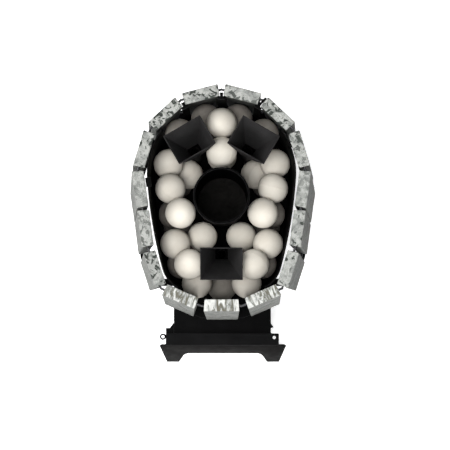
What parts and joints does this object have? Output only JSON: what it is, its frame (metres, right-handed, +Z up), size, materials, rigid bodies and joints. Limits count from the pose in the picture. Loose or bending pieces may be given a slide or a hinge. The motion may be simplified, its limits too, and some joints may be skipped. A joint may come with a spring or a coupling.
{
  "type": "sauna stove",
  "caption": "Wood-fired sauna stove: stone staves round a steel casing filled with ceramic balls, flue socket, water hoppers, fuel door and ash drawer.",
  "frame": {"origin": "on the floor, in the middle of the stove's overall box", "axes": "+Z up, +Y towards the back, so the fuel door faces -Y; +X to the right as seen from the front"},
  "size_m": [0.495, 0.7127, 0.85],
  "materials": {
    "stave_stone": "sawn, speckled",
    "ceramic_ball": "matt",
    "black_steel": "matt heat-resistant black",
    "hopper_steel": "matt dark grey",
    "grate_iron": "as cast",
    "hoop_steel": "dark blued",
    "handle_steel": "brushed",
    "door_glass": "dark fire glass",
    "seal_rope": "woven"
  },
  "bodies": {
    "stove": {"stave_01": "stave_stone", "stave_02": "stave_stone", "stave_03": "stave_stone", "stave_04": "stave_stone", "stave_05": "stave_stone", "stave_06": "stave_stone", "stave_07": "stave_stone", "stave_08": "stave_stone", "stave_09": "stave_stone", "stave_10": "stave_stone", "stave_11": "stave_stone", "stave_12": "stave_stone", "stave_13": "stave_stone", "stave_14": "stave_stone", "stave_15": "stave_stone", "stones_lower": "ceramic_ball", "stones_top": "ceramic_ball", "hopper_front": "hopper_steel", "hopper_back_left": "hopper_steel", "hopper_back_right": "hopper_steel", "water_pipes": "hopper_steel", "fire_grate": "grate_iron", "flame_baffle": "grate_iron", "upper_hoop": "hoop_steel", "lower_hoop": "hoop_steel", "hinge_pins": "hoop_steel", "rope_seal": "seal_rope", "base_plate": "black_steel", "casing_wall": "black_steel", "basket_floor": "black_steel", "firebox_shell": "black_steel", "firebox_top_plate": "black_steel", "flue_socket": "black_steel", "baffle_ledges": "black_steel", "hearth_plate": "black_steel", "fuel_tunnel": "black_steel", "sill_plate": "black_steel", "front_frame": "black_steel", "front_strip": "black_steel", "fixing_eye": "black_steel", "frame_gussets": "black_steel", "front_foot_plate": "black_steel", "rear_foot_plate": "black_steel", "hoop_coupler": "black_steel", "stave_ledge": "black_steel", "ledge_brackets": "black_steel", "front_ledge": "black_steel", "rim_clips": "black_steel", "hinge_posts": "black_steel"},
    "door": {"door_leaf": "black_steel", "door_glass": "door_glass", "glass_clips": "black_steel", "clip_screws": "hoop_steel"},
    "latch": {"latch_spindle": "hoop_steel", "latch_lever": "handle_steel"},
    "drawer": {"ash_tray": "black_steel", "drawer_front": "black_steel", "drawer_pull": "handle_steel", "slide_rails": "black_steel"},
    "air_slide": {"air_slide": "handle_steel"}
  },
  "joints": [
    {"name": "door_hinge", "type": "hinge", "parent": "stove", "child": "door", "pos_m": [-0.122, -0.274, 0.315], "axis": [0, 0, -1], "range_deg": [0, 105]},
    {"name": "latch_turn", "type": "hinge", "parent": "door", "child": "latch", "pos_m": [0.095, -0.271, 0.312], "axis": [0, 1, 0], "range_deg": [0, 80]},
    {"name": "drawer_slide", "type": "slide", "parent": "stove", "child": "drawer", "axis": [0, -1, 0], "range_m": [0, 0.3]},
    {"name": "air_slide", "type": "slide", "parent": "drawer", "child": "air_slide", "axis": [1, 0, 0], "range_m": [0, 0.013]}
  ]
}
